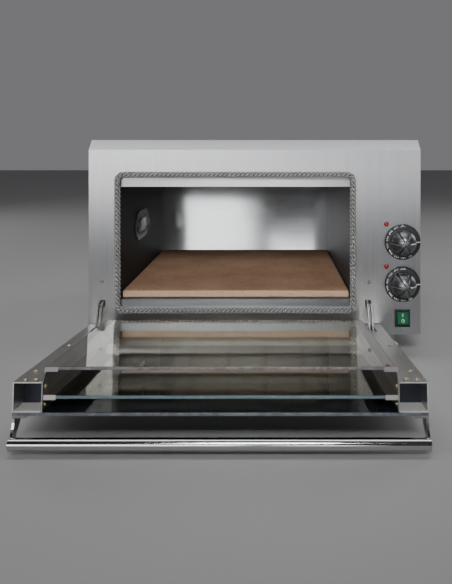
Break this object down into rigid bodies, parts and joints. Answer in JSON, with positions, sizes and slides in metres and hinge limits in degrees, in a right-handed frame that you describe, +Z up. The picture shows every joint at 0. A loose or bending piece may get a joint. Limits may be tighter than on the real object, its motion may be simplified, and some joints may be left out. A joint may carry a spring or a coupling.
{
  "type": "electric bread oven",
  "caption": "Stainless countertop bread oven with a stone-floored chamber, a drop-down triple-glazed door on spring hinges, thermostat knobs and a lit rocker switch.",
  "frame": {"origin": "on the table, under the middle of the whole oven's box with the door open", "axes": "+Z up, -Y out of the open door towards the user, +X to the user's right, towards the controls"},
  "size_m": [0.5782, 0.8352, 0.377],
  "materials": {
    "stainless_brushed": "fine vertical brushing",
    "stainless_polished": "bright polish",
    "steel_plain": "plain rolled steel, zinc plated",
    "screw_zinc": "zinc plated, slightly yellow",
    "element_sheath": "oxidised sheath",
    "fired_clay": "unglazed, fine grain",
    "mineral_wool": "felted wool",
    "glass_fibre": "braided rope",
    "rubber_black": "matt",
    "clear_glass": "clear tempered",
    "tinted_glass": "dark tempered",
    "knob_plastic": "dark moulding with satin crown",
    "black_plastic": "moulded",
    "green_plastic": "translucent, lit",
    "red_plastic": "translucent, lit",
    "cream_ceramic": "steatite",
    "brown_resin": "moulded switch body with steel bush and bulb"
  },
  "bodies": {
    "oven_body": {"front_panel": "stainless_brushed", "outer_casing": "stainless_brushed", "rear_cover": "stainless_brushed", "base_plate": "stainless_brushed", "chamber_liner": "stainless_polished", "top_lip": "stainless_polished", "front_sill": "stainless_polished", "stone_rails": "stainless_polished", "lamp_bezel": "stainless_polished", "feet": "steel_plain", "upper_element_clips": "steel_plain", "lower_element_clips": "steel_plain", "bulb_clips": "steel_plain", "hinge_receiver_left": "steel_plain", "hinge_receiver_right": "steel_plain", "hinge_claw_left": "steel_plain", "hinge_claw_right": "steel_plain", "lamp_holder": "steel_plain", "panel_screws": "screw_zinc", "casing_screws": "screw_zinc", "upper_element": "element_sheath", "lower_element": "element_sheath", "baking_stone": "fired_clay", "insulation_jacket": "mineral_wool", "door_gasket": "glass_fibre", "foot_pads": "rubber_black", "lamp_lens": "clear_glass", "lamp_bulb": "clear_glass", "switch_housing": "black_plastic", "cable_gland": "black_plastic", "pilot_lamp_upper": "red_plastic", "pilot_lamp_lower": "red_plastic", "terminal_block": "cream_ceramic", "thermostat_upper": "brown_resin", "thermostat_lower": "brown_resin"},
    "door": {"door_upright_left": "stainless_brushed", "door_upright_right": "stainless_brushed", "glazing_wall_left": "stainless_brushed", "glazing_wall_right": "stainless_brushed", "door_bottom_rail": "stainless_brushed", "inner_glass": "clear_glass", "middle_glass": "clear_glass", "middle_glass_holder_left": "stainless_polished", "middle_glass_holder_right": "stainless_polished", "outer_glass": "tinted_glass", "hinge_body_left": "steel_plain", "hinge_body_right": "steel_plain", "hinge_pins": "steel_plain", "hinge_rods": "steel_plain", "hinge_springs": "steel_plain", "handle_bar": "stainless_polished", "handle_bracket_left": "stainless_polished", "handle_bracket_right": "stainless_polished", "door_screws": "screw_zinc"},
    "knob_upper_set": {"knob_upper": "knob_plastic", "thermostat_shaft_upper": "steel_plain"},
    "knob_lower_set": {"knob_lower": "knob_plastic", "thermostat_shaft_lower": "steel_plain"},
    "rocker": {"switch_rocker": "green_plastic"}
  },
  "joints": [
    {"name": "door_hinge", "type": "hinge", "parent": "oven_body", "child": "door", "pos_m": [-0.0335, -0.11778, 0.0534], "axis": [-1, 0, 0], "range_deg": [0, 85.38]},
    {"name": "thermostat_upper_turn", "type": "hinge", "parent": "oven_body", "child": "knob_upper_set", "pos_m": [0.256, -0.08638, 0.2007], "axis": [0, 1, 0], "range_deg": [0, 300]},
    {"name": "thermostat_lower_turn", "type": "hinge", "parent": "oven_body", "child": "knob_lower_set", "pos_m": [0.256, -0.08638, 0.1277], "axis": [0, 1, 0], "range_deg": [0, 300]},
    {"name": "switch_rock", "type": "hinge", "parent": "oven_body", "child": "rocker", "pos_m": [0.256, -0.08338, 0.0685], "axis": [1, 0, 0], "range_deg": [0, 16]}
  ]
}
